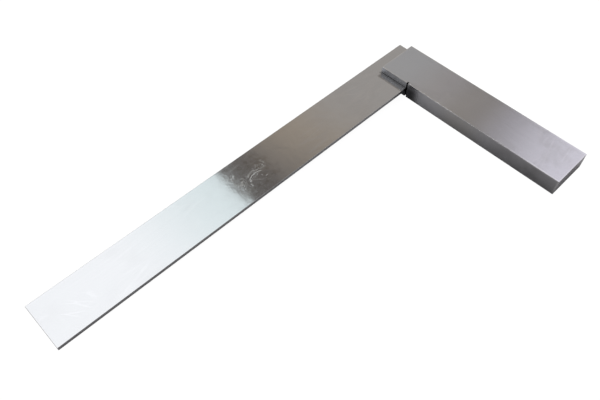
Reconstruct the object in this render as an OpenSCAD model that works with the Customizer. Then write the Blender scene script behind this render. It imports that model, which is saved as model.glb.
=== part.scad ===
// Engineer's try square: a flat steel blade riveted into the slotted heel of a solid steel stock.
//
// The square lies flat on the stock's lower face. The origin is the inner right-angle corner on
// that plane: +X runs out along the blade's inner edge, +Y runs along the stock's inner face and
// +Z points up. All sizes are in millimetres.

/* [Blade] */
// Length of the blade over all, from the stock's back to the tip: the square's nominal size
blade_length = 200; // [150:1:300]
// Width of the blade, from inner to outer edge
blade_width = 21.2; // [18:0.1:26]
// Thickness of the blade
blade_thickness = 1.8; // [1.2:0.1:2.4]
// Width of the flat on the blade's broken edges
blade_edge_break = 0.15; // [0.05:0.05:0.3]

/* [Stock] */
// Length of the stock, from its heel end to its free end
stock_length = 93; // [70:0.5:150]
// Width of the stock, from its inner face to its back
stock_width = 21; // [18:0.1:26]
// Height of the stock
stock_height = 8; // [7:0.1:12]
// Size of the stock's broken edges
stock_edge_break = 0.25; // [0.1:0.05:0.4]

/* [Corner] */
// How far the blade's outer edge stands past the heel end of the stock
blade_overhang = 6.5; // [3:0.1:7]
// Width of the relief cut that keeps burrs out of the inner corner
relief_width = 0.8; // [0.5:0.1:1.2]
// Depth of the relief cut into the stock's inner face
relief_depth = 0.9; // [0.5:0.1:1.5]

/* [Rivets] */
// Diameter of the rivets' shank
rivet_diameter = 3; // [2.5:0.1:3]
// Diameter of the closed heads where they are ground flush
rivet_head_diameter = 4.2; // [3.6:0.1:4.4]
// Depth of the countersink that each head fills
rivet_head_depth = 0.8; // [0.5:0.1:1]

/* [Hidden] */
$fn = 64;

// The blade lies in the middle of the stock's height, between two equal cheeks.
cheek = (stock_height - blade_thickness) / 2;
// Width of the blade's end that the stock covers, which is also how far the slot is sawn in
lap = blade_width - blade_overhang;
// A cut runs this far past the face it opens
past = 1;
// Shares of the stock's width at which the rivets stand, from the inner face to the back
rivet_rows = [0.24, 0.5, 0.76];
// Shares of the lap at which they stand, measured from the inner edge of the blade
rivet_near = 0.3;
rivet_far = 0.7;
inner_rivet_at = [-rivet_rows[0] * stock_width, -rivet_near * lap];
heel_rivet_at = [-rivet_rows[1] * stock_width, -rivet_far * lap];
back_rivet_at = [-rivet_rows[2] * stock_width, -rivet_near * lap];
rivet_places = [inner_rivet_at, heel_rivet_at, back_rivet_at];

// Rectangle of size [x, y] from the origin, with its four corners cut off by c.
module cut_corner_rectangle(x, y, c) {
    polygon([
        [c, 0], [x - c, 0], [x, c], [x, y - c],
        [x - c, y], [c, y], [0, y - c], [0, c]
    ]);
}

// Ground bar of size [x, y, z] from the origin, with all twelve edges broken by c.
module ground_bar(x, y, z, c) {
    intersection() {
        linear_extrude(z) cut_corner_rectangle(x, y, c);
        translate([0, y, 0]) rotate([90, 0, 0]) linear_extrude(y) cut_corner_rectangle(x, z, c);
        rotate([90, 0, 90]) linear_extrude(x) cut_corner_rectangle(y, z, c);
    }
}

// A rivet as closed and ground: straight shank, with a cone at each end filling its countersink.
// The grow value lengthens both ends past the stock's faces, for cutting the same shape as a hole.
module rivet_shape(at, grow) {
    head_slope = (rivet_head_diameter - rivet_diameter) / 2 / rivet_head_depth;
    profile = [
        [0, -grow],
        [rivet_head_diameter / 2 + head_slope * grow, -grow],
        [rivet_diameter / 2, rivet_head_depth],
        [rivet_diameter / 2, stock_height - rivet_head_depth],
        [rivet_head_diameter / 2 + head_slope * grow, stock_height + grow],
        [0, stock_height + grow]
    ];
    translate([at[0], at[1], 0]) rotate_extrude() polygon(profile);
}

// All three rivet holes, countersunk on both sides.
module rivet_holes() {
    for (at = rivet_places) rivet_shape(at, past);
}

module blade() {
    color([0.86, 0.87, 0.88])
    difference() {
        translate([-stock_width, -blade_width, cheek])
            ground_bar(blade_length, blade_width, blade_thickness, blade_edge_break);
        rivet_holes();
    }
}

// Slot for the blade, sawn in from the heel end and open to the stock's inner face and back.
module blade_slot() {
    translate([-stock_width - past, -lap - past, cheek])
        cube([stock_width + 2 * past, lap + past, blade_thickness]);
}

// Narrow full-height cut in the stock's inner face, beside the blade's inner edge.
module relief_cut() {
    translate([-relief_depth, 0, -past])
        cube([relief_depth + past, relief_width, stock_height + 2 * past]);
}

module stock() {
    color([0.62, 0.62, 0.64])
    difference() {
        translate([-stock_width, -lap, 0])
            ground_bar(stock_width, stock_length, stock_height, stock_edge_break);
        blade_slot();
        relief_cut();
        rivet_holes();
    }
}

module rivet_inner() {
    color([0.6, 0.6, 0.62]) rivet_shape(inner_rivet_at, 0);
}

module rivet_heel() {
    color([0.6, 0.6, 0.62]) rivet_shape(heel_rivet_at, 0);
}

module rivet_back() {
    color([0.6, 0.6, 0.62]) rivet_shape(back_rivet_at, 0);
}

blade();
stock();
rivet_inner();
rivet_heel();
rivet_back();
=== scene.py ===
import math

import bmesh
import bpy
from mathutils import Matrix, Vector


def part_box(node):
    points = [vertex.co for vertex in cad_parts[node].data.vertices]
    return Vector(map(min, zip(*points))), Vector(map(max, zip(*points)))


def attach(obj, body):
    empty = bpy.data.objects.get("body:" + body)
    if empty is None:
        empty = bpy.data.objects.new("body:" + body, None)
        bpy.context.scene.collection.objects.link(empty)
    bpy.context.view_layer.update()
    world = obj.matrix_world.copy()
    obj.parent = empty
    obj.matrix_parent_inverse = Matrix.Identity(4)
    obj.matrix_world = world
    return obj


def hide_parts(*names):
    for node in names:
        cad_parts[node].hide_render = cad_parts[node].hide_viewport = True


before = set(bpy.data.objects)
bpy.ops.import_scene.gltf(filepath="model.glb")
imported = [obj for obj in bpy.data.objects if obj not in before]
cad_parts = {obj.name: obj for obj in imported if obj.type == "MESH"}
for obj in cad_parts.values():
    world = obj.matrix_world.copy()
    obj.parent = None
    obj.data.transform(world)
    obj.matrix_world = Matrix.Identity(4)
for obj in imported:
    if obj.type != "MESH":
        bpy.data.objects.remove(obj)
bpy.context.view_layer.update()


# ---------------------------------------------------------------------------------------------
# Stock: the thick arm of the square. A bar of steel ground flat on all sides, sawn in from its
# heel end for the blade, drilled and countersunk for three rivets, and nicked at the inner
# corner so that a burr on the work can't hold the square off.
# ---------------------------------------------------------------------------------------------
MM = 0.001
X, Y, Z = range(3)
stock_low, stock_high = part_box("stock")
blade_low, blade_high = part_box("blade")
RIVET_NODES = ("rivet_inner", "rivet_heel", "rivet_back")
rivet_boxes = [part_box(name) for name in RIVET_NODES]
rivet_places = [(low + high) / 2 for low, high in rivet_boxes]

SHANK_RADIUS = 1.5 * MM
HEAD_RADIUS = (rivet_boxes[0][1].x - rivet_boxes[0][0].x) / 2
HEAD_DEPTH = 0.8 * MM
RELIEF_WIDTH = 0.8 * MM
RELIEF_DEPTH = 0.9 * MM
STOCK_EDGE = 0.30 * MM
CUT_EDGE = 0.05 * MM
EDGE_STEPS = 3
ROUND_STEPS = 64
# how far a cutter stands out of the metal it cuts
PAST = 1.0 * MM


def new_piece(name, bm):
    """A mesh object at the origin from a bmesh, with its faces pointing out."""
    bmesh.ops.recalc_face_normals(bm, faces=bm.faces)
    mesh = bpy.data.meshes.new(name)
    bm.to_mesh(mesh)
    bm.free()
    piece = bpy.data.objects.new(name, mesh)
    bpy.context.scene.collection.objects.link(piece)
    return piece


def prism(name, outline, axis, start, end):
    """A closed outline in the two other axes, drawn out along axis from start to end."""
    bm = bmesh.new()
    ring = []
    for a, b in outline:
        point = [a, b]
        point.insert(axis, start)
        ring.append(bm.verts.new(point))
    face = bm.faces.new(ring)
    drawn = bmesh.ops.extrude_face_region(bm, geom=[face])["geom"]
    step = Vector((0, 0, 0))
    step[axis] = end - start
    bmesh.ops.translate(bm, vec=step, verts=[v for v in drawn if isinstance(v, bmesh.types.BMVert)])
    return new_piece(name, bm)


def block(name, low, high):
    """A plain six-sided block, as raw stock for a piece or as a cutter."""
    outline = [(low.x, low.y), (high.x, low.y), (high.x, high.y), (low.x, high.y)]
    return prism(name, outline, Z, low.z, high.z)


def rivet_hole(place):
    """Cutter for one rivet hole: a straight drilling with a countersink at each face."""
    slope = (HEAD_RADIUS - SHANK_RADIUS) / HEAD_DEPTH
    rim = HEAD_RADIUS + slope * PAST
    levels = [
        (stock_low.z - PAST, rim),
        (stock_low.z + HEAD_DEPTH, SHANK_RADIUS),
        (stock_high.z - HEAD_DEPTH, SHANK_RADIUS),
        (stock_high.z + PAST, rim),
    ]
    bm = bmesh.new()
    rings = []
    for z, radius in levels:
        made = bmesh.ops.create_circle(bm, segments=ROUND_STEPS, radius=radius)
        bmesh.ops.translate(bm, vec=(place.x, place.y, z), verts=made["verts"])
        rings.append(made["verts"])
    bm.faces.new(rings[0])
    bm.faces.new(rings[-1])
    for lower, upper in zip(rings, rings[1:]):
        for i in range(ROUND_STEPS):
            j = (i + 1) % ROUND_STEPS
            bm.faces.new((lower[i], lower[j], upper[j], upper[i]))
    return new_piece("hole_cutter", bm)


def settle(piece):
    """Turns a piece's modifiers into plain mesh."""
    bpy.context.view_layer.update()
    seen = piece.evaluated_get(bpy.context.evaluated_depsgraph_get())
    mesh = bpy.data.meshes.new_from_object(seen)
    piece.modifiers.clear()
    piece.data = mesh
    mesh.name = piece.name


def cut(piece, cutters):
    """Takes every cutter out of the piece, and the cutters out of the scene."""
    for cutter in cutters:
        saw = piece.modifiers.new("cut", "BOOLEAN")
        saw.operation = "DIFFERENCE"
        saw.solver = "EXACT"
        saw.object = cutter
        settle(piece)
        bpy.data.objects.remove(cutter)


def break_edges(piece, low, high, outer, inner, steps):
    """Rounds the piece's outer edges by one radius and the edges of its cuts by a smaller one."""
    on_face = 0.01 * MM
    same_point = 0.001 * MM
    sharp = math.radians(25)
    bm = bmesh.new()
    bm.from_mesh(piece.data)
    bmesh.ops.remove_doubles(bm, verts=bm.verts, dist=same_point)
    weight = bm.edges.layers.float.new("bevel_weight_edge")
    for edge in bm.edges:
        if len(edge.link_faces) != 2 or edge.calc_face_angle(0) < sharp:
            continue
        sides = 0
        for axis in (X, Y, Z):
            for level in (low[axis], high[axis]):
                sides += all(abs(v.co[axis] - level) < on_face for v in edge.verts)
        # an outer edge lies on two sides of the piece's box at once
        edge[weight] = 1.0 if sides >= 2 else inner / outer
    bm.to_mesh(piece.data)
    bm.free()
    piece.data.shade_smooth()
    bevel = piece.modifiers.new("broken edges", "BEVEL")
    bevel.limit_method = "WEIGHT"
    bevel.width = outer
    bevel.segments = steps
    bevel.harden_normals = True
    bevel.use_clamp_overlap = True


# the bar's end view, with the slot for the blade open towards the heel
slot_outline = [
    (stock_low.y, stock_low.z),
    (stock_high.y, stock_low.z),
    (stock_high.y, stock_high.z),
    (stock_low.y, stock_high.z),
    (stock_low.y, blade_high.z),
    (blade_high.y, blade_high.z),
    (blade_high.y, blade_low.z),
    (stock_low.y, blade_low.z),
]
stock = prism("stock_bar", slot_outline, X, stock_low.x, stock_high.x)
relief = block(
    "relief_cutter",
    Vector((stock_high.x - RELIEF_DEPTH, blade_high.y, stock_low.z - PAST)),
    Vector((stock_high.x + PAST, blade_high.y + RELIEF_WIDTH, stock_high.z + PAST)),
)
cut(stock, [relief] + [rivet_hole(place) for place in rivet_places])
break_edges(stock, stock_low, stock_high, STOCK_EDGE, CUT_EDGE, EDGE_STEPS)


def fill(tree, node, values):
    """Sets or links a node's inputs by name, with _ for a space, or by number after a first _."""
    for key, value in values.items():
        socket = node.inputs[int(key[1:])] if key[0] == "_" else node.inputs[key.replace("_", " ")]
        if isinstance(value, bpy.types.NodeSocket):
            tree.links.new(value, socket)
        else:
            socket.default_value = value
    return node


def add(tree, kind, settings=None, **values):
    """A node with its settings, and the values or links of its inputs."""
    node = tree.nodes.new("ShaderNode" + kind)
    for key, value in (settings or {}).items():
        setattr(node, key, value)
    return fill(tree, node, values)


def calc(tree, operation, a, b=0.0, c=0.0):
    """One sum of a Math node."""
    return add(tree, "Math", {"operation": operation}, _0=a, _1=b, _2=c).outputs[0]


def vector(tree, operation, a, b=(0, 0, 0)):
    """One sum of a Vector Math node."""
    return add(tree, "VectorMath", {"operation": operation}, _0=a, _1=b).outputs[0]


def scaled(tree, a, factor):
    """A vector or colour made longer or brighter by one factor."""
    return add(tree, "VectorMath", {"operation": "SCALE"}, _0=a, Scale=factor).outputs[0]


def ramp(tree, value, start, end, first=0.0, last=1.0):
    """Goes straight from first to last while value goes from start to end."""
    return add(tree, "MapRange", None, Value=value, From_Min=start, From_Max=end,
               To_Min=first, To_Max=last).outputs[0]


def soft_ramp(tree, value, start, end, first=0.0, last=1.0):
    """Goes from first to last, slowly at both ends, while value goes from start to end."""
    return add(tree, "MapRange", {"interpolation_type": "SMOOTHSTEP"}, Value=value,
               From_Min=start, From_Max=end, To_Min=first, To_Max=last).outputs[0]


def noise(tree, points, scale, detail, **more):
    """An uneven pattern around one half, with about scale patches to the metre."""
    return add(tree, "TexNoise", None, Vector=points, Scale=scale, Detail=detail,
               **more).outputs["Fac"]


def split(tree, points, axis):
    """One of the three numbers of a point."""
    return add(tree, "SeparateXYZ", None, Vector=points).outputs[axis]


def shader_group(name, inputs, outputs):
    """A shader node group with its sockets made, and its input and output nodes."""
    tree = bpy.data.node_groups.new(name, "ShaderNodeTree")
    for socket, kind, value in inputs:
        made = tree.interface.new_socket(socket, in_out="INPUT", socket_type="NodeSocket" + kind)
        if value is not None:
            made.default_value = value
    for socket, kind in outputs:
        tree.interface.new_socket(socket, in_out="OUTPUT", socket_type="NodeSocket" + kind)
    return tree, tree.nodes.new("NodeGroupInput").outputs, tree.nodes.new("NodeGroupOutput")


def grinding_group():
    """Fine lines left by a grinding belt or wheel: long along one axis, close across it.

    Scale holds lines per metre along X, Y and Z. Height is for bump and Tone for colour."""
    band_share = 0.17
    tree, enter, leave = shader_group(
        "grinding lines",
        [("Vector", "Vector", None), ("Scale", "Vector", (1, 1, 1)), ("Coarse", "Float", 0.3)],
        [("Height", "Float"), ("Tone", "Float")],
    )
    fine = vector(tree, "MULTIPLY", enter["Vector"], enter["Scale"])
    lines = noise(tree, fine, 1.0, 3.0, Roughness=0.6)
    bands = noise(tree, scaled(tree, fine, band_share), 1.0, 2.0)
    height = add(tree, "Mix", {"data_type": "FLOAT"}, _0=enter["Coarse"], _2=lines,
                 _3=bands).outputs[0]
    fill(tree, leave, {"Height": height, "Tone": ramp(tree, height, 0.3, 0.7)})
    return tree


def edge_wear_and_highlight_group():
    """Mask that is 1 on the edges of a box from Low to High and falls to 0 within Width of them,
    broken up so that it comes and goes along the edge. It carries both real edge wear and a painted
    highlight line along the edges."""
    least_wear = 0.35
    tree, enter, leave = shader_group(
        "edge wear and highlight",
        [("Vector", "Vector", None), ("Low", "Vector", (0, 0, 0)), ("High", "Vector", (1, 1, 1)),
         ("Width", "Float", 0.001), ("Patch Scale", "Float", 100.0)],
        [("Wear", "Float")],
    )
    from_low = vector(tree, "SUBTRACT", enter["Vector"], enter["Low"])
    from_high = vector(tree, "SUBTRACT", enter["High"], enter["Vector"])
    nearest = vector(tree, "MINIMUM", from_low, from_high)
    x, y, z = add(tree, "SeparateXYZ", None, Vector=nearest).outputs
    # the second smallest of the three distances is the distance to the nearest edge
    edge = calc(tree, "MINIMUM",
                calc(tree, "MAXIMUM", x, y),
                calc(tree, "MINIMUM", calc(tree, "MAXIMUM", y, z), calc(tree, "MAXIMUM", x, z)))
    near = soft_ramp(tree, edge, 0.0, enter["Width"], 1.0, 0.0)
    patches = noise(tree, enter["Vector"], enter["Patch Scale"], 3.0)
    broken = ramp(tree, patches, 0.35, 0.6, least_wear, 1.0)
    fill(tree, leave, {"Wear": calc(tree, "MULTIPLY", near, broken)})
    return tree


def handling_group():
    """Marks of use: soft patches where fingers have dulled the metal, and hairline scratches."""
    scratch_turns = (1.45, 1.72, 0.95)
    scratch_stretch = 16.0
    scratch_width = 0.02
    tree, enter, leave = shader_group(
        "handling marks",
        [("Vector", "Vector", None), ("Patch Scale", "Float", 40.0), ("Scratch Scale", "Float", 90.0)],
        [("Smudge", "Float"), ("Scratch", "Float")],
    )
    patches = noise(tree, enter["Vector"], enter["Patch Scale"], 4.0, Roughness=0.55, Distortion=0.4)
    smudge = soft_ramp(tree, patches, 0.45, 0.72)
    marks = 0.0
    for turn in scratch_turns:
        turned = add(tree, "Mapping", {"vector_type": "TEXTURE"}, Vector=enter["Vector"],
                     Rotation=(0.0, 0.0, turn), Scale=(1.0, scratch_stretch, 1.0)).outputs[0]
        cells = add(tree, "TexVoronoi", {"feature": "DISTANCE_TO_EDGE"}, Vector=turned,
                    Scale=enter["Scratch Scale"]).outputs["Distance"]
        marks = calc(tree, "MAXIMUM", marks, ramp(tree, cells, 0.0, scratch_width, 1.0, 0.0))
    # only some stretches of the lines are kept
    gaps = noise(tree, enter["Vector"], enter["Patch Scale"], 2.0)
    kept = ramp(tree, gaps, 0.52, 0.62)
    fill(tree, leave, {"Smudge": smudge, "Scratch": calc(tree, "MULTIPLY", marks, kept)})
    return tree


def recess_group():
    """Mask that is 1 inside a box from Low to High and falls to 0 within Fade outside it, for painted
    shade and painted reflection tones that keep to one place, such as the painted shade in the relief
    cut."""
    tree, enter, leave = shader_group(
        "recess",
        [("Vector", "Vector", None), ("Low", "Vector", (0, 0, 0)), ("High", "Vector", (1, 1, 1)),
         ("Fade", "Float", 0.001)],
        [("Inside", "Float")],
    )
    below = vector(tree, "SUBTRACT", enter["Low"], enter["Vector"])
    above = vector(tree, "SUBTRACT", enter["Vector"], enter["High"])
    outside = vector(tree, "MAXIMUM", vector(tree, "MAXIMUM", below, above))
    far = add(tree, "VectorMath", {"operation": "LENGTH"}, _0=outside).outputs["Value"]
    fill(tree, leave, {"Inside": soft_ramp(tree, far, 0.0, enter["Fade"], 1.0, 0.0)})
    return tree


grinding_lines = grinding_group()
edge_wear_and_highlight = edge_wear_and_highlight_group()
handling_marks = handling_group()
recess = recess_group()


def place_group(tree, group, **values):
    """One of the shared groups, placed in a material with its own values. Gives its outputs."""
    node = tree.nodes.new("ShaderNodeGroup")
    node.node_tree = group
    return fill(tree, node, values).outputs


def new_material(name):
    """A material with an empty tree, its output, a Principled BSDF and the object's own points."""
    material = bpy.data.materials.new(name)
    material.use_nodes = True
    tree = material.node_tree
    tree.nodes.clear()
    output = tree.nodes.new("ShaderNodeOutputMaterial")
    shader = tree.nodes.new("ShaderNodeBsdfPrincipled")
    tree.links.new(shader.outputs[0], output.inputs["Surface"])
    points = tree.nodes.new("ShaderNodeTexCoord").outputs["Object"]
    return material, tree, shader, points


def mix_colour(tree, share, first, second):
    """The first colour where share is 0 and the second where it is 1."""
    return add(tree, "Mix", {"data_type": "RGBA"}, _0=share, _6=first, _7=second).outputs[2]


def faint(tree, mask, strength):
    """A mask weakened to at most strength."""
    return calc(tree, "MULTIPLY", mask, strength)


def add_marks(tree, base, *marks):
    """Roughness from a base and, for each mark, its mask and how much it adds."""
    for mask, more in marks:
        base = calc(tree, "MULTIPLY_ADD", mask, more, base)
    return base


def dented(tree, height, depth, **more):
    """Surface direction over a height pattern that is depth metres deep. A Normal given to it is
    the surface direction that it lies on."""
    more = {"Strength": 1.0, **more}
    return add(tree, "Bump", None, Distance=depth, Height=height, **more).outputs[0]


# painted shade, near black: in the walls of the relief cut, in the inner corner beside the cut, and
# along the seam where blade and stock meet
PAINTED_SHADE_DARK = (0.022, 0.020, 0.019, 1)
SHADE_MASK_ROUGHENS = 0.3
CUT_FADE = 0.05 * MM
relief_low = Vector((stock_high.x - RELIEF_DEPTH, blade_high.y, stock_low.z))
relief_high = Vector((stock_high.x - STOCK_EDGE, blade_high.y + RELIEF_WIDTH, stock_high.z))
NOOK_REACH = 5.0 * MM
NOOK_STRENGTH = 0.82
nook_low = Vector((stock_high.x, blade_high.y + 2.8 * MM, stock_low.z))
nook_high = Vector((stock_high.x, blade_high.y + 3.6 * MM, blade_high.z - 1.0 * MM))
seam_low = Vector((stock_high.x, stock_low.y, blade_high.z))
seam_high = Vector((stock_high.x, blade_high.y, blade_high.z))


def painted_corner_shade(tree, points, steel, seam_out, seam_reach, seam_strength):
    """Painted shade in the relief cut, in the inner corner and along the seam: how much lies on a
    point, and the steel's colour with it. The painted line along the seam lies seam_out from the
    stock's inner face."""
    cut_walls = place_group(tree, recess, Vector=points, Low=relief_low, High=relief_high,
                            Fade=CUT_FADE)["Inside"]
    out = Vector((seam_out, 0.0, 0.0))
    seam = place_group(tree, recess, Vector=points, Low=seam_low + out, High=seam_high + out,
                       Fade=seam_reach)["Inside"]
    nook = place_group(tree, recess, Vector=points, Low=nook_low, High=nook_high,
                       Fade=NOOK_REACH)["Inside"]
    painted_shade = calc(tree, "MAXIMUM", cut_walls, faint(tree, seam, seam_strength))
    painted_shade = calc(tree, "MAXIMUM", painted_shade, faint(tree, nook, NOOK_STRENGTH))
    return painted_shade, mix_colour(tree, painted_shade, steel, PAINTED_SHADE_DARK)


# painted reflection tones along the stock, a cooler one towards the heel and a faint straw one
# halfway: from, to, fade, colour
REFLECTION_TONES_ALONG = [
    (stock_low.y, -6.0 * MM, 20.0 * MM, (0.86, 0.90, 0.955, 1)),
    (28.0 * MM, 32.0 * MM, 14.0 * MM, (0.80, 0.785, 0.76, 1)),
]
# painted shade on the inner face: darker towards the free end and low down
INNER_SHADE_GREY = (0.42, 0.415, 0.42, 1)
INNER_SHADE_REACH = 62.0 * MM
INNER_SHADE_STRENGTH = 0.7
INNER_SHADE_PATCHES = 0.25
inner_low = Vector((stock_high.x - 0.02 * MM, stock_high.y - 6.0 * MM, stock_low.z))
inner_high = Vector((stock_high.x, stock_high.y, stock_low.z + 1.5 * MM))


def painted_inner_shade(tree, points, smudge):
    """Painted shade: the inner face darker towards the free end and low down, patchy where the smudges
    are.
    """
    shade_box = place_group(tree, recess, Vector=points, Low=inner_low, High=inner_high,
                       Fade=INNER_SHADE_REACH)["Inside"]
    on_face = soft_ramp(tree, split(tree, points, X), stock_high.x - 0.12 * MM, inner_low.x)
    patchy = calc(tree, "MULTIPLY_ADD", smudge, INNER_SHADE_PATCHES, INNER_SHADE_STRENGTH)
    return calc(tree, "MULTIPLY", calc(tree, "MULTIPLY", shade_box, patchy), on_face)


GROUND_DARK = (0.81, 0.81, 0.835, 1)
GROUND_PALE = (0.905, 0.905, 0.93, 1)
GROUND_DULLED = (0.76, 0.755, 0.76, 1)
GROUND_SCRATCHED = (0.97, 0.97, 0.98, 1)
# edges: paler from real wear and from a painted highlight line along them
GROUND_WORN_AND_LIT = (0.98, 0.98, 0.98, 1)
DULLED_STRENGTH = 0.4
SCRATCHED_STRENGTH = 0.4
STOCK_LINES = (9000.0, 250.0, 9000.0)
SATIN_ROUGHNESS = 0.21
SMUDGE_ROUGHENS = 0.03
LINES_ROUGHEN = 0.02
WEAR_ROUGHENS = -0.05
SATIN_LINE_DEPTH = 0.002 * MM


def satin_steel(name, low, high):
    """Satin-ground tool steel: grey, with fine lines, worn edges with a painted highlight along them
    and a few dulled patches, with painted reflection tones along the stock, painted shade on the inner
    face, and painted shade round the relief cut and along the seam.
    """
    material, tree, shader, points = new_material(name)
    grain = place_group(tree, grinding_lines, Vector=points, Scale=STOCK_LINES, Coarse=0.35)
    worn_and_lit = place_group(tree, edge_wear_and_highlight, Vector=points, Low=low, High=high, Width=0.9 * MM,
                       Patch_Scale=70.0)["Wear"]
    marks = place_group(tree, handling_marks, Vector=points, Patch_Scale=95.0, Scratch_Scale=110.0)
    steel = mix_colour(tree, grain["Tone"], GROUND_DARK, GROUND_PALE)
    steel = mix_colour(tree, faint(tree, marks["Smudge"], DULLED_STRENGTH), steel, GROUND_DULLED)
    steel = mix_colour(tree, faint(tree, marks["Scratch"], SCRATCHED_STRENGTH), steel,
                       GROUND_SCRATCHED)
    # painted reflection tones along the stock
    for start, end, fade, colour in REFLECTION_TONES_ALONG:
        patch = place_group(tree, recess, Vector=points, Low=(low.x, start, low.z),
                            High=(high.x, end, high.z), Fade=fade)["Inside"]
        steel = mix_colour(tree, patch, steel, colour)
    # painted shade on the inner face, darker towards the free end and low down
    steel = mix_colour(tree, painted_inner_shade(tree, points, marks["Smudge"]), steel, INNER_SHADE_GREY)
    # edges paler from real wear and from a painted highlight line
    steel = mix_colour(tree, worn_and_lit, steel, GROUND_WORN_AND_LIT)
    # painted shade in the relief cut, in the inner corner and along the seam
    painted_shade, steel = painted_corner_shade(tree, points, steel, seam_out=0.0, seam_reach=0.45 * MM, seam_strength=1.0)
    rough = add_marks(tree, SATIN_ROUGHNESS, (marks["Smudge"], SMUDGE_ROUGHENS),
                      (grain["Tone"], LINES_ROUGHEN), (worn_and_lit, WEAR_ROUGHENS),
                      (painted_shade, SHADE_MASK_ROUGHENS))
    normal = dented(tree, grain["Height"], SATIN_LINE_DEPTH, Strength=0.25)
    fill(tree, shader, {"Base Color": steel, "Roughness": rough, "Normal": normal,
                        "Metallic": 1.0})
    return material


stock.data.materials.append(satin_steel("satin ground steel", stock_low, stock_high))
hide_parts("stock")
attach(stock, "root")


# ---------------------------------------------------------------------------------------------
# Blade: the thin arm. A strip of hardened steel, ground parallel and polished on both flats,
# pushed into the slot as far as its inner edge reaches and riveted there.
# ---------------------------------------------------------------------------------------------
BLADE_EDGE = 0.14 * MM

blade = block("blade_strip", blade_low, blade_high)
cut(blade, [rivet_hole(place) for place in rivet_places])
break_edges(blade, blade_low, blade_high, BLADE_EDGE, CUT_EDGE, EDGE_STEPS)


def worn_oval(tree, points, middle, length, width, fray):
    """Mask of an oval patch of wear on the blade, 1 in its middle, with a frayed edge. Length
    and width run from its middle."""
    fray_scale = 260.0
    placed = add(tree, "Mapping", {"vector_type": "TEXTURE"}, Vector=points, Location=middle,
                 Scale=(length, width, 1.0)).outputs[0]
    flat = vector(tree, "MULTIPLY", placed, (1, 1, 0))
    away = add(tree, "VectorMath", {"operation": "LENGTH"}, _0=flat).outputs["Value"]
    uneven = calc(tree, "SUBTRACT", noise(tree, points, fray_scale, 3.0), 0.5)
    away = calc(tree, "MULTIPLY_ADD", uneven, fray, away)
    return soft_ramp(tree, away, 0.4, 1.0, 1.0, 0.0)


SCUFF_MIDDLE = Vector((86.0, -11.0, 0.0)) * MM
SCUFF_LENGTH = 15.0 * MM
SCUFF_WIDTH = 9.0 * MM
BLOTCH_SCALE = 330.0
CURL_SCALE = 210.0
CURL_WIDTH = 0.02
CURL_GAP_SCALE = 150.0
CURL_STRENGTH = 0.8
STAIN_MIDDLE = Vector((83.0, -10.6, 0.0)) * MM
STAIN_LENGTH = 13.0 * MM
STAIN_WIDTH = 17.0 * MM
STAIN_STRENGTH = 0.34
STAIN_BLOTCHES = 0.4
ARC_CENTRE = Vector((82.4, -3.4, 0.0)) * MM
ARC_MIDDLE = Vector((82.0, -10.2, 0.0)) * MM
ARC_LENGTH = 5.5 * MM
ARC_WIDTH = 1.5 * MM
ARC_RINGS = 250.0


def loose_curls(tree, points):
    """Fine stray curls: the lines where a twisted uneven pattern crosses its middle, with gaps."""
    curls = noise(tree, points, CURL_SCALE, 2.0, Distortion=2.2)
    off = calc(tree, "ABSOLUTE", calc(tree, "SUBTRACT", curls, 0.5))
    line = soft_ramp(tree, off, 0.0, CURL_WIDTH, 1.0, 0.0)
    kept = soft_ramp(tree, noise(tree, points, CURL_GAP_SCALE, 1.0), 0.48, 0.57)
    return calc(tree, "MULTIPLY", line, kept)


def swung_arcs(tree, points):
    """A short bundle of round scratches side by side, as grit leaves that swings round a point."""
    round_centre = add(tree, "Mapping", {"vector_type": "TEXTURE"}, Vector=points,
                       Location=ARC_CENTRE).outputs[0]
    rings = add(tree, "TexWave", {"wave_type": "RINGS", "rings_direction": "Z"},
                Vector=round_centre, Scale=ARC_RINGS, Distortion=2.0, Detail=2.0, Detail_Scale=1.5)
    fine = soft_ramp(tree, rings.outputs["Fac"], 0.74, 0.96)
    return calc(tree, "MULTIPLY", fine,
                worn_oval(tree, points, ARC_MIDDLE, ARC_LENGTH, ARC_WIDTH, 0.7))


def scuff(tree, points):
    """A rubbed oval half way along the blade: how far in it a point is, how browned and how matt
    the metal is there, and how much of one of the fine curved scratches is on the point."""
    oval = worn_oval(tree, points, SCUFF_MIDDLE, SCUFF_LENGTH, SCUFF_WIDTH, 0.9)
    blotches = noise(tree, points, BLOTCH_SCALE, 3.0, Distortion=0.8)
    matt = soft_ramp(tree, blotches, 0.46, 0.64)
    curls = calc(tree, "MULTIPLY", loose_curls(tree, points), faint(tree, oval, CURL_STRENGTH))
    curved = calc(tree, "MAXIMUM", swung_arcs(tree, points), curls)
    stain = worn_oval(tree, points, STAIN_MIDDLE, STAIN_LENGTH, STAIN_WIDTH, 0.5)
    browned = calc(tree, "MULTIPLY_ADD", matt, STAIN_BLOTCHES, STAIN_STRENGTH)
    stain = calc(tree, "MULTIPLY", stain, browned)
    return oval, stain, calc(tree, "MULTIPLY", matt, oval), curved


TIP_MIDDLE = Vector((165.5, -9.0, 0.0)) * MM
TIP_LENGTH = 9.0 * MM
TIP_WIDTH = 5.5 * MM
TIP_SLANT = 0.82
TIP_STRETCH = 7.0
TIP_SCALE = 330.0
TIP_LINE_WIDTH = 0.06
TIP_STRENGTH = 0.35


def tip_scratches(tree, points):
    """A few short bright scratches set slantwise near the tip, from being slid on the bench."""
    oval = worn_oval(tree, points, TIP_MIDDLE, TIP_LENGTH, TIP_WIDTH, 0.5)
    slanted = add(tree, "Mapping", {"vector_type": "TEXTURE"}, Vector=points,
                  Rotation=(0.0, 0.0, TIP_SLANT), Scale=(1.0, TIP_STRETCH, 1.0)).outputs[0]
    cells = add(tree, "TexVoronoi", {"feature": "DISTANCE_TO_EDGE"}, Vector=slanted,
                Scale=TIP_SCALE).outputs["Distance"]
    lines = ramp(tree, cells, 0.0, TIP_LINE_WIDTH, TIP_STRENGTH, 0.0)
    return calc(tree, "MULTIPLY", lines, oval)


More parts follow.
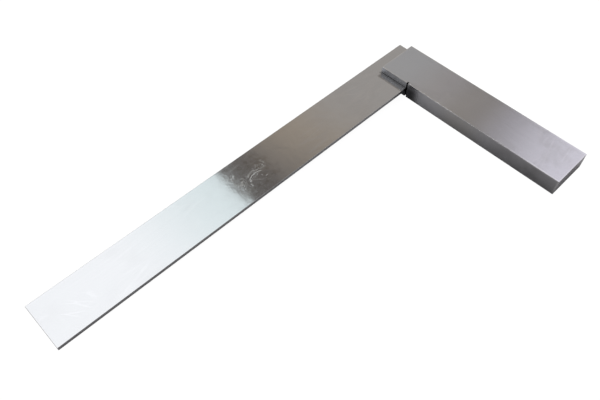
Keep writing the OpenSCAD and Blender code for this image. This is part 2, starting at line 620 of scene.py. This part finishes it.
POLISHED_DARK = (0.783, 0.788, 0.797, 1)
POLISHED_PALE = (0.817, 0.822, 0.828, 1)
POLISHED_HAZED = (0.72, 0.72, 0.73, 1)
POLISHED_SCRATCHED = (0.93, 0.93, 0.94, 1)
# edges: paler from real wear and from a painted highlight line along them
POLISHED_WORN_AND_LIT = (0.88, 0.88, 0.885, 1)
STAIN_BROWN = (0.50, 0.475, 0.445, 1)
HAZE_STRENGTH = 0.25
HAIRLINE_STRENGTH = 0.3
BLADE_LINES = (120.0, 9000.0, 9000.0)
POLISHED_ROUGHNESS = 0.075
HAZE_ROUGHENS = 0.04
HAIRLINES_ROUGHEN = 0.06
MATT_ROUGHENS = 0.02
CURVED_ROUGHENS = 0.34
WAVE_SCALE = 110.0
WAVE_DEPTH = 0.028 * MM
CRUMPLE_SCALE = 420.0
CRUMPLE_DEPTH = 0.008 * MM
CURVED_DEPTH = 0.006 * MM
POLISHED_LINE_DEPTH = 0.001 * MM
# painted reflection: a grey band on the blade beside the stock, widening the stock's own dark
# reflection there
REFLECTION_BAND_GREY = (0.30, 0.29, 0.28, 1)
REFLECTION_BAND_STRENGTH = 0.67
REFLECTION_BAND_FADE = 1.15 * MM
reflection_band_low = seam_low + Vector((0.0, 1.2, 0.0)) * MM
reflection_band_high = seam_high + Vector((2.8, 0.0, 0.0)) * MM


def polished_steel(name, low, high):
    """Polished steel strip: near mirror, faintly wavy, with hairlines along it, one scuff, and worn
    edges with a painted highlight along them; beside the stock it carries a painted reflection band
    and painted shade along the seam.
    """
    material, tree, shader, points = new_material(name)
    grain = place_group(tree, grinding_lines, Vector=points, Scale=BLADE_LINES, Coarse=0.3)
    worn_and_lit = place_group(tree, edge_wear_and_highlight, Vector=points, Low=low, High=high, Width=0.35 * MM,
                       Patch_Scale=150.0)["Wear"]
    marks = place_group(tree, handling_marks, Vector=points, Patch_Scale=60.0, Scratch_Scale=70.0)
    reflection_band = place_group(tree, recess, Vector=points, Low=reflection_band_low, High=reflection_band_high,
                       Fade=REFLECTION_BAND_FADE)["Inside"]
    oval, stain, matt, curved = scuff(tree, points)
    scratched = calc(tree, "MAXIMUM", faint(tree, marks["Scratch"], HAIRLINE_STRENGTH),
                     tip_scratches(tree, points))
    steel = mix_colour(tree, grain["Tone"], POLISHED_DARK, POLISHED_PALE)
    steel = mix_colour(tree, faint(tree, marks["Smudge"], HAZE_STRENGTH), steel, POLISHED_HAZED)
    steel = mix_colour(tree, scratched, steel, POLISHED_SCRATCHED)
    # edges paler from real wear and from a painted highlight line
    steel = mix_colour(tree, worn_and_lit, steel, POLISHED_WORN_AND_LIT)
    steel = mix_colour(tree, stain, steel, STAIN_BROWN)
    # painted reflection: grey band beside the stock
    steel = mix_colour(tree, faint(tree, reflection_band, REFLECTION_BAND_STRENGTH), steel, REFLECTION_BAND_GREY)
    # painted shade along the seam and near the relief cut
    painted_shade, steel = painted_corner_shade(tree, points, steel, seam_out=0.65 * MM, seam_reach=0.85 * MM,
                         seam_strength=0.45)
    rough = add_marks(tree, POLISHED_ROUGHNESS, (marks["Smudge"], HAZE_ROUGHENS),
                      (grain["Tone"], LINES_ROUGHEN), (marks["Scratch"], HAIRLINES_ROUGHEN),
                      (painted_shade, SHADE_MASK_ROUGHENS), (matt, MATT_ROUGHENS), (curved, CURVED_ROUGHENS))
    waves = noise(tree, points, WAVE_SCALE, 2.0, Distortion=0.4)
    crumple = noise(tree, points, CRUMPLE_SCALE, 2.0, Distortion=1.2)
    normal = dented(tree, waves, WAVE_DEPTH)
    normal = dented(tree, calc(tree, "MULTIPLY", crumple, oval), CRUMPLE_DEPTH, Normal=normal)
    normal = dented(tree, curved, CURVED_DEPTH, Normal=normal)
    normal = dented(tree, grain["Height"], POLISHED_LINE_DEPTH, Strength=0.3, Normal=normal)
    fill(tree, shader, {"Base Color": steel, "Roughness": rough, "Normal": normal,
                        "Metallic": 1.0})
    return material


blade.data.materials.append(polished_steel("polished steel", blade_low, blade_high))
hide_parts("blade")
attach(blade, "root")


# ---------------------------------------------------------------------------------------------
# Rivets: three soft steel pins, closed into the countersinks on both sides of the stock and
# ground off flush with it, so that only a hairline ring shows where each one is.
# ---------------------------------------------------------------------------------------------
def rivet_tree():
    """Geometry Nodes: one rivet by its rule of radius and height, set on every given point."""
    tree = bpy.data.node_groups.new("flush rivets", "GeometryNodeTree")
    sockets = [("Places", "Geometry"), ("Height", "Float"), ("Shank Radius", "Float"),
               ("Head Radius", "Float"), ("Head Depth", "Float"), ("Material", "Material")]
    for socket, kind in sockets:
        tree.interface.new_socket(socket, in_out="INPUT", socket_type="NodeSocket" + kind)
    tree.interface.new_socket("Rivets", in_out="OUTPUT", socket_type="NodeSocketGeometry")
    enter = tree.nodes.new("NodeGroupInput").outputs
    leave = tree.nodes.new("NodeGroupOutput")

    # a straight pin, with a ring of corners every head depth
    pin = tree.nodes.new("GeometryNodeMeshCylinder")
    pin.fill_type = "TRIANGLE_FAN"
    fill(tree, pin, {"Vertices": ROUND_STEPS, "Radius": enter["Shank Radius"],
                     "Depth": enter["Height"],
                     "Side Segments": calc(tree, "DIVIDE", enter["Height"], enter["Head Depth"])})

    # how far into a countersink a ring of the pin lies: 0 at the cone's foot, 1 on the face
    place = tree.nodes.new("GeometryNodeInputPosition").outputs[0]
    from_middle = calc(tree, "ABSOLUTE", split(tree, place, Z))
    from_face = calc(tree, "SUBTRACT", calc(tree, "DIVIDE", enter["Height"], 2.0), from_middle)
    share = calc(tree, "SUBTRACT", 1.0, calc(tree, "DIVIDE", from_face, enter["Head Depth"]))
    share = calc(tree, "MAXIMUM", share, 0.0)
    widest = calc(tree, "DIVIDE", enter["Head Radius"], enter["Shank Radius"])
    grow = calc(tree, "MULTIPLY_ADD", share, calc(tree, "SUBTRACT", widest, 1.0), 1.0)
    wider = add(tree, "CombineXYZ", None, X=grow, Y=grow, Z=1.0).outputs[0]
    closed = tree.nodes.new("GeometryNodeSetPosition")
    fill(tree, closed, {"Geometry": pin.outputs["Mesh"],
                        "Position": vector(tree, "MULTIPLY", place, wider)})

    spots = tree.nodes.new("GeometryNodeMeshToPoints")
    set_out = tree.nodes.new("GeometryNodeInstanceOnPoints")
    real = tree.nodes.new("GeometryNodeRealizeInstances")
    finish = tree.nodes.new("GeometryNodeSetMaterial")
    fill(tree, spots, {"Mesh": enter["Places"]})
    fill(tree, set_out, {"Points": spots.outputs["Points"], "Instance": closed.outputs["Geometry"]})
    fill(tree, real, {"Geometry": set_out.outputs["Instances"]})
    fill(tree, finish, {"Geometry": real.outputs["Geometry"], "Material": enter["Material"]})
    fill(tree, leave, {"Rivets": finish.outputs["Geometry"]})
    return tree


def grow_by_nodes(piece, tree, values):
    """Runs a Geometry Nodes tree on a piece with values by input name, and keeps the plain mesh."""
    modifier = piece.modifiers.new(tree.name, "NODES")
    modifier.node_group = tree
    for item in tree.interface.items_tree:
        if item.item_type == "SOCKET" and item.in_out == "INPUT" and item.name in values:
            modifier[item.identifier] = values[item.name]
    settle(piece)


RIVET_EDGE = 0.02 * MM
RIVET_EDGE_STEPS = 2
rivet_spots = bmesh.new()
for place in rivet_places:
    rivet_spots.verts.new(place)
rivets = new_piece("flush_rivets", rivet_spots)
grow_by_nodes(rivets, rivet_tree(), {
    "Height": stock_high.z - stock_low.z,
    "Shank Radius": SHANK_RADIUS,
    "Head Radius": HEAD_RADIUS,
    "Head Depth": HEAD_DEPTH,
    "Material": satin_steel("rivet steel", stock_low, stock_high),
})
break_edges(rivets, stock_low, stock_high, CUT_EDGE, RIVET_EDGE, RIVET_EDGE_STEPS)
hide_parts(*RIVET_NODES)
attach(rivets, "root")


# ---------------------------------------------------------------------------------------------
# Floor, light and camera. The square is heavier at the blade than the stock can hold level, so
# it tips until the blade's tip is down too: the floor rises to meet the tip.
# ---------------------------------------------------------------------------------------------
FLOOR_REACH = 4.0
FLOOR_GREY = (0.44, 0.435, 0.44, 1)
FLOOR_PAST_END = (0.60, 0.585, 0.59, 1)
FLOOR_PALE = (0.9, 0.9, 0.9, 1)
FLOOR_ROUGHNESS = 0.9
FLOOR_GLOSS = 0.1
SHADE_REACH = 8.0 * MM
FLOOR_GLOW = 1.18
GLOW_SHARE = 0.8
WHITE = (1, 1, 1, 1)
floor_rise = blade_low.z / blade_high.x

bm = bmesh.new()
corners = []
for x, y in ((-1, -1), (1, -1), (1, 1), (-1, 1)):
    corners.append(bm.verts.new((x * FLOOR_REACH, y * FLOOR_REACH, x * FLOOR_REACH * floor_rise)))
bm.faces.new(corners)
floor = new_piece("floor", bm)
floor_paint, tree, paint, points = new_material("pale floor")
fill(tree, paint, {"Roughness": FLOOR_ROUGHNESS, "Specular IOR Level": FLOOR_GLOSS})
# a lit sweep: pale and nearly without shadow to the eye. In the metal's reflections it is grey, with
# painted shade close under the square from an occlusion node, and painted light making it paler past
# the stock's free end
to_eye = tree.nodes.new("ShaderNodeLightPath").outputs["Is Camera Ray"]
# painted light: past the stock's free end the floor is paler in the metal's reflections
past_end = soft_ramp(tree, split(tree, points, Y), stock_high.y - 2.0 * MM, stock_high.y + 8.0 * MM)
lit_floor = mix_colour(tree, past_end, FLOOR_GREY, FLOOR_PAST_END)
shade = add(tree, "AmbientOcclusion", {"samples": 8}, Color=lit_floor, Distance=SHADE_REACH)
floor_colour = mix_colour(tree, to_eye, shade.outputs["Color"], FLOOR_PALE)
fill(tree, paint, {"Base Color": floor_colour})
glow = add(tree, "Emission", None, Color=WHITE, Strength=FLOOR_GLOW)
lit = add(tree, "MixShader", None, Fac=faint(tree, to_eye, GLOW_SHARE),
          _1=paint.outputs[0], _2=glow.outputs[0])
fill(tree, tree.nodes["Material Output"], {"Surface": lit.outputs[0]})
floor.data.materials.append(floor_paint)

# the studio round the square: a dim room with soft cards hung in it, seen only by reflection
ROOM = (0.146, 0.135, 0.130)
# azimuth and elevation of a card's middle, how far it is full and where it ends, all in
# degrees, and its light; azimuth is counted from -Y towards +X, so it is negative over -X
CARDS = [
    (-49.7, 37.5, 9, 16.5, (0.215, 0.174, 0.122)),
    (-54, 35.6, 8.7, 14, (0.005, 0.036, 0.075)),
    (-92.7, 46, 14, 15.5, (0.63, 0.62, 0.70)),
    (56, 42, 8, 24, (0.10, 0.104, 0.110)),
    (0, 90, 10, 28, (0.40, 0.40, 0.41)),
    (34, 65, 4, 13, (2.2, 2.2, 2.25)),
    (130, 10, 15, 75, (0.50, 0.50, 0.51)),
    (30, 6, 8, 45, (0.42, 0.42, 0.43)),
    (-140, 8, 10, 60, (0.55, 0.55, 0.56)),
]
world = bpy.data.worlds.new("studio")
bpy.context.scene.world = world
world.use_nodes = True
tree = world.node_tree
tree.nodes.clear()
toward = tree.nodes.new("ShaderNodeTexCoord").outputs["Generated"]
room_light = ROOM
for azimuth, elevation, full_within, gone_past, card_light in CARDS:
    a, e = math.radians(azimuth), math.radians(elevation)
    aim = (math.sin(a) * math.cos(e), -math.cos(a) * math.cos(e), math.sin(e))
    close = add(tree, "VectorMath", {"operation": "DOT_PRODUCT"}, _0=toward, _1=aim)
    level = soft_ramp(tree, close.outputs["Value"], math.cos(math.radians(gone_past)),
                      math.cos(math.radians(full_within)))
    room_light = vector(tree, "ADD", room_light, scaled(tree, card_light, level))
to_eye = tree.nodes.new("ShaderNodeLightPath").outputs["Is Camera Ray"]
seen = add(tree, "Background", None, Color=WHITE, Strength=1.0)
room = add(tree, "Background", None, Color=room_light, Strength=1.0)
last = add(tree, "MixShader", None, Fac=to_eye, _1=room.outputs[0], _2=seen.outputs[0])
fill(tree, tree.nodes.new("ShaderNodeOutputWorld"), {"Surface": last.outputs[0]})

# softbox hung over the blade's tip: the end of its near side shows as the edge across the blade
BOX_HEIGHT = 0.6
BOX_LOW = Vector((-0.168, -0.75, BOX_HEIGHT))
BOX_HIGH = Vector((0.26, -0.10, BOX_HEIGHT))
BOX_EDGE_LIGHT = (0.711, 0.819, 0.84, 1)
BOX_MIDDLE_LIGHT = (0.965, 0.992, 1.024, 1)
BOX_EDGE_WIDTH = 0.224
lamp = bpy.data.lights.new("softbox", "AREA")
lamp.shape = "RECTANGLE"
lamp.size = BOX_HIGH.x - BOX_LOW.x
lamp.size_y = BOX_HIGH.y - BOX_LOW.y
lamp.energy = math.pi * lamp.size * lamp.size_y
lamp.use_nodes = True
tree = lamp.node_tree
across = split(tree, tree.nodes.new("ShaderNodeNewGeometry").outputs["Parametric"], X)
inwards = soft_ramp(tree, across, 0.0, BOX_EDGE_WIDTH / lamp.size)
box_light = mix_colour(tree, inwards, BOX_EDGE_LIGHT, BOX_MIDDLE_LIGHT)
fill(tree, tree.nodes["Emission"], {"Color": box_light})
softbox = bpy.data.objects.new("softbox", lamp)
softbox.location = (BOX_LOW + BOX_HIGH) / 2
bpy.context.scene.collection.objects.link(softbox)

VIEW_AZIMUTH = 135.21
VIEW_ELEVATION = 53.78
VIEW_ROLL = 0.80
VIEW_DISTANCE = 246.33 * MM
VIEW_TARGET = Vector((75.87, 9.47, 0.0)) * MM
LENS = 36.82
optics = bpy.data.cameras.new("camera")
optics.lens = LENS
optics.sensor_width = 36.0
optics.clip_start = 0.01
optics.clip_end = 20.0
camera = bpy.data.objects.new("camera", optics)
turn = (Matrix.Rotation(math.radians(VIEW_AZIMUTH), 4, "Z")
        @ Matrix.Rotation(math.radians(90 - VIEW_ELEVATION), 4, "X")
        @ Matrix.Rotation(math.radians(VIEW_ROLL), 4, "Z"))
camera.matrix_world = (Matrix.Translation(VIEW_TARGET) @ turn
                       @ Matrix.Translation((0, 0, VIEW_DISTANCE)))
bpy.context.scene.collection.objects.link(camera)
bpy.context.scene.camera = camera
bpy.context.scene.view_settings.view_transform = "Standard"
